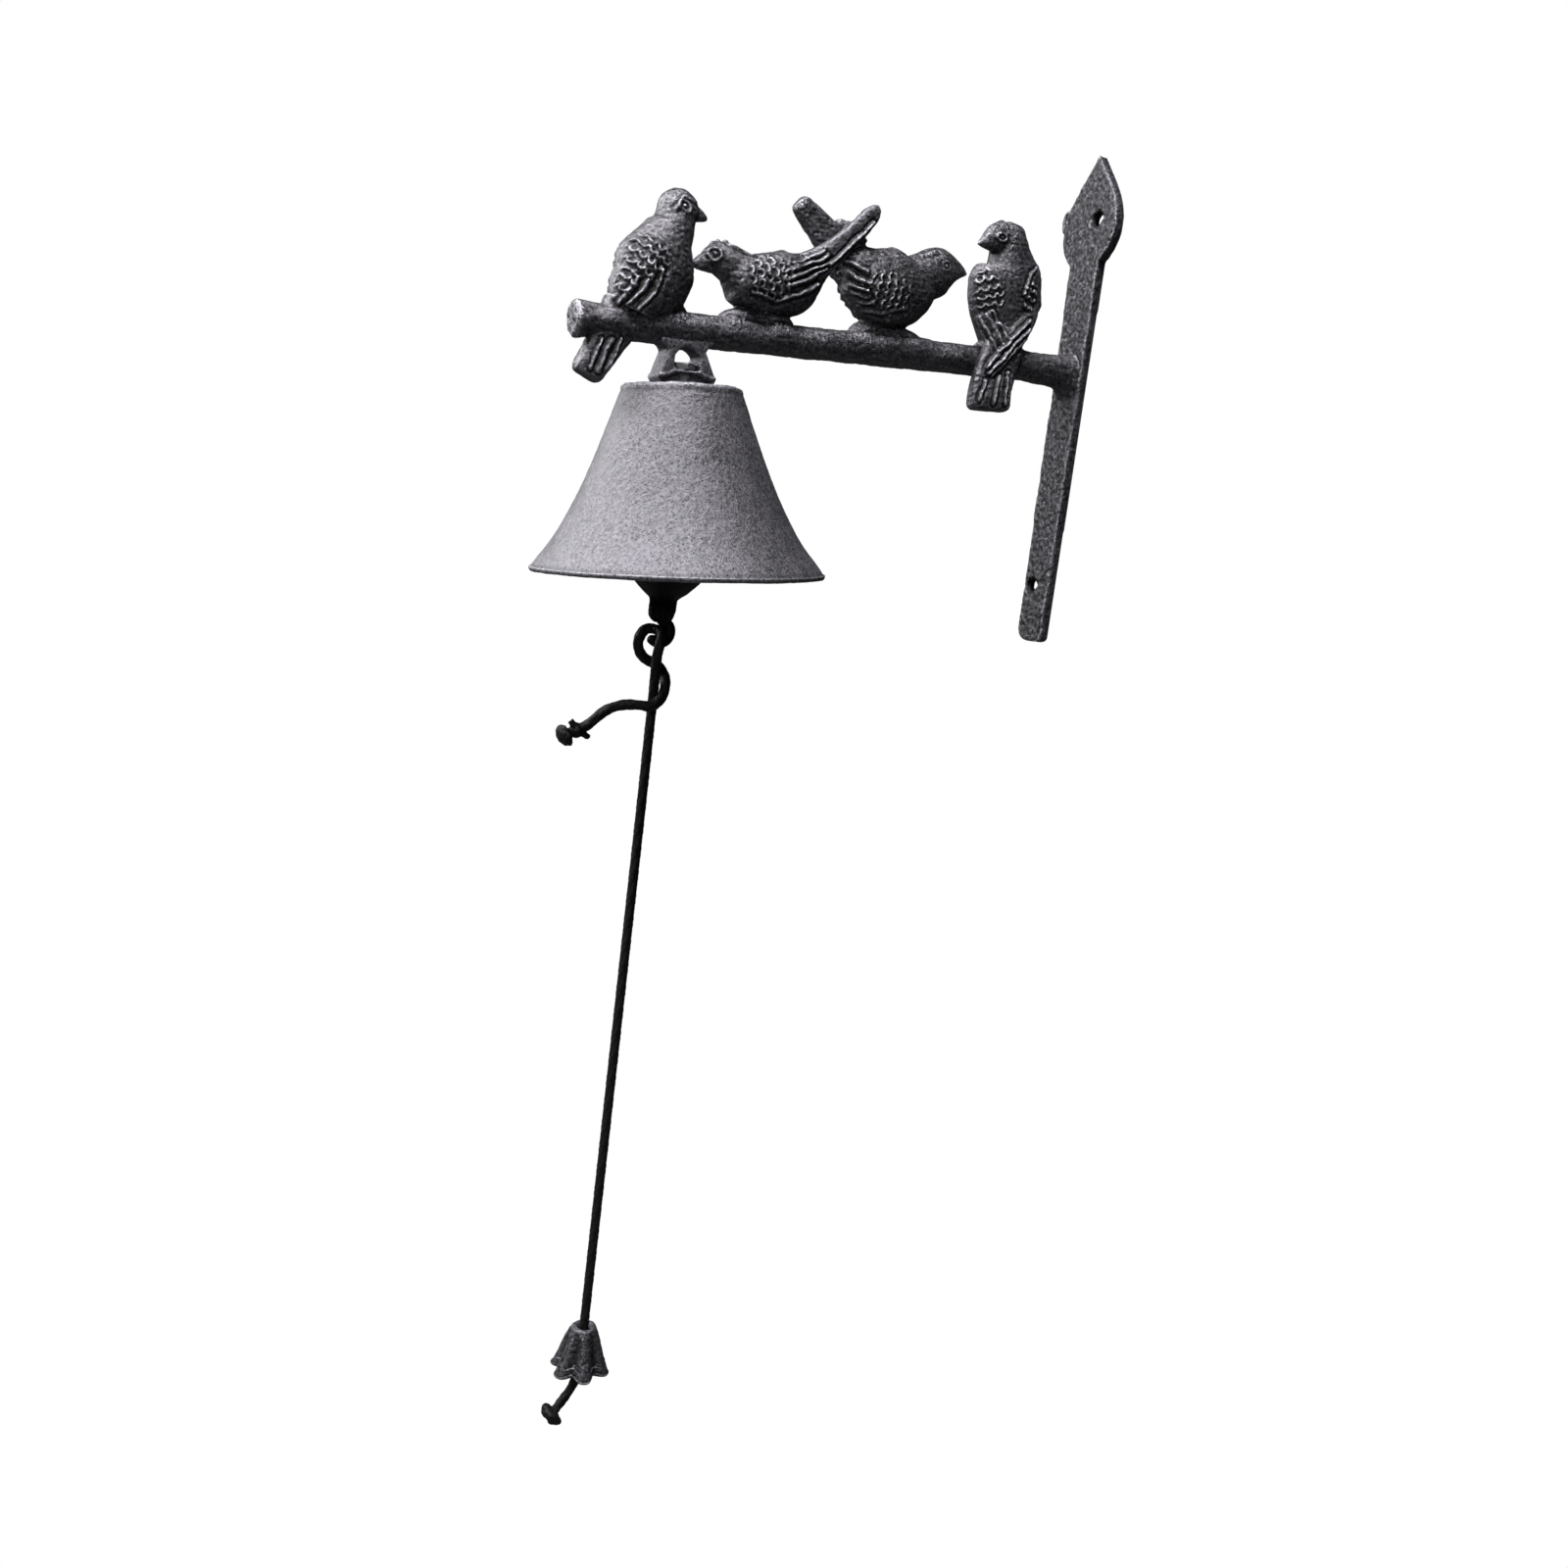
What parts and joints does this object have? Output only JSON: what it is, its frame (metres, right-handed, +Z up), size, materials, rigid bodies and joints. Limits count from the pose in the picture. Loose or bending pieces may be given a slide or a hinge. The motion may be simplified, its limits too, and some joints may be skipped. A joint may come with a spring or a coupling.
{
  "type": "wall bell",
  "caption": "Cast-iron wall bell: flared bell on a drooping branch bracket with perched birds, rung by a weighted pull cord on its swinging clapper.",
  "frame": {"origin": "on the wall plate's back face, on the bar's centre line, midway in height between the two screw holes", "axes": "+X into the wall, square to the plate's back face; the branch runs out along -X; +Z up"},
  "size_m": [0.2255, 0.108, 0.5234],
  "materials": {
    "iron": "black sand-cast iron with a thin satin paint",
    "fittings": "blackened wire and nuts",
    "clapper": "matt black",
    "cord": "black round braid"
  },
  "bodies": {
    "bracket": {"wall_plate": "iron", "branch": "iron", "upright_bird": "iron", "small_bird": "iron", "crossing_bird": "iron", "turned_bird": "iron", "bell_lug": "iron", "eye_bolt": "fittings", "window_nut": "fittings", "bell_washer": "fittings", "bell_nut": "fittings", "bell_shell": "iron"},
    "link": {"clapper_link": "fittings"},
    "clapper": {"clapper_eye": "clapper", "clapper_bob": "clapper", "cord_hook": "clapper"},
    "cord": {"pull_cord": "cord", "tail_knot": "cord", "tail_tip": "cord", "stop_knot": "cord", "end_tip": "cord"},
    "weight": {"pull_weight": "iron"}
  },
  "joints": [
    {"name": "link_swing", "type": "hinge", "parent": "bracket", "child": "link", "pos_m": [-0.17622, 0, -0.04344], "axis": [0, 1, 0], "range_deg": [-43, 31]},
    {"name": "clapper_sway", "type": "hinge", "parent": "link", "child": "clapper", "pos_m": [-0.17622, 0, -0.05234], "axis": [1, 0, 0], "range_deg": [-12, 12]},
    {"name": "cord_swing", "type": "hinge", "parent": "clapper", "child": "cord", "pos_m": [-0.17622, 0, -0.10954], "axis": [0, 1, 0], "range_deg": [-30, 20]},
    {"name": "weight_slide", "type": "slide", "parent": "cord", "child": "weight", "axis": [0, 0, 1], "range_m": [0, 0.22]}
  ]
}
